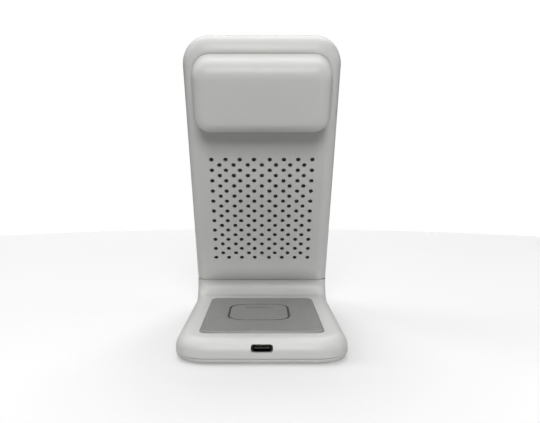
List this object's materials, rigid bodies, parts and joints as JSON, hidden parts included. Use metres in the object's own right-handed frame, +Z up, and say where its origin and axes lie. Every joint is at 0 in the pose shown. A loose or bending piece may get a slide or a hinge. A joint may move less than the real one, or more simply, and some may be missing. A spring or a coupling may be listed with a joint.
{
  "type": "wireless charging stand",
  "caption": "Desktop charging stand: flat base with a soft earbuds pad and a power inlet, a vented upright that leans over it with a phone ledge behind, and a rounded watch head.",
  "frame": {"origin": "on the table, under the middle of the footprint", "axes": "+Z up, X across the stand, the pad and the power inlet face -Y and the phone side faces +Y"},
  "size_m": [0.076, 0.142, 0.147],
  "materials": {
    "shell_white": "fine matte",
    "face_sheet": "soft matte",
    "pad_grey": "matte silicone",
    "rubber_dark": "matte",
    "mesh_black": "matte",
    "plastic_black": "satin",
    "plastic_ivory": "satin",
    "steel": "zinc plated",
    "inlet_metal": "black nickel",
    "gold": "gilt",
    "aluminium": "mill",
    "copper": "enamelled litz wire",
    "ferrite": "sintered",
    "magnet": "nickel plated",
    "circuit_board": "solder mask",
    "light_pipe": "frosted"
  },
  "bodies": {
    "root": {"ballast_plate": "steel", "base_bottom_cover": "shell_white", "base_screws": "steel", "base_top_shell": "shell_white", "bracket_base_screws": "steel", "bracket_upright_screws": "steel", "coil_carrier": "plastic_ivory", "driver_board": "circuit_board", "driver_board_screws": "steel", "driver_capacitors": "plastic_ivory", "driver_chips": "plastic_black", "driver_connector": "plastic_ivory", "earbuds_coil": "copper", "earbuds_ferrite": "ferrite", "earbuds_pad": "pad_grey", "heat_spreader": "aluminium", "inlet_contacts": "gold", "inlet_insulator": "plastic_black", "inlet_shell": "inlet_metal", "ledge_strip": "rubber_dark", "main_board": "circuit_board", "main_board_capacitors": "plastic_ivory", "main_board_chips": "plastic_black", "main_board_connector": "plastic_ivory", "main_board_inductors": "ferrite", "main_board_screws": "steel", "neck_bracket": "steel", "panel_screws": "steel", "phone_coil_lower": "copper", "phone_coil_upper": "copper", "phone_face_sheet": "face_sheet", "phone_ferrite": "ferrite", "phone_grip_ring": "pad_grey", "rubber_feet": "rubber_dark", "status_light_board": "circuit_board", "status_light_pipe": "light_pipe", "upright_front_panel": "shell_white", "upright_rear_shell": "shell_white", "upright_ribbon": "plastic_ivory", "vent_dust_mesh": "mesh_black", "watch_board": "circuit_board", "watch_board_parts": "plastic_black", "watch_coil": "copper", "watch_coil_holder": "plastic_ivory", "watch_ferrite": "ferrite", "watch_head_screws": "steel", "watch_head_shell": "shell_white", "watch_header_pins": "gold", "watch_magnet": "magnet"}
  },
  "joints": []
}
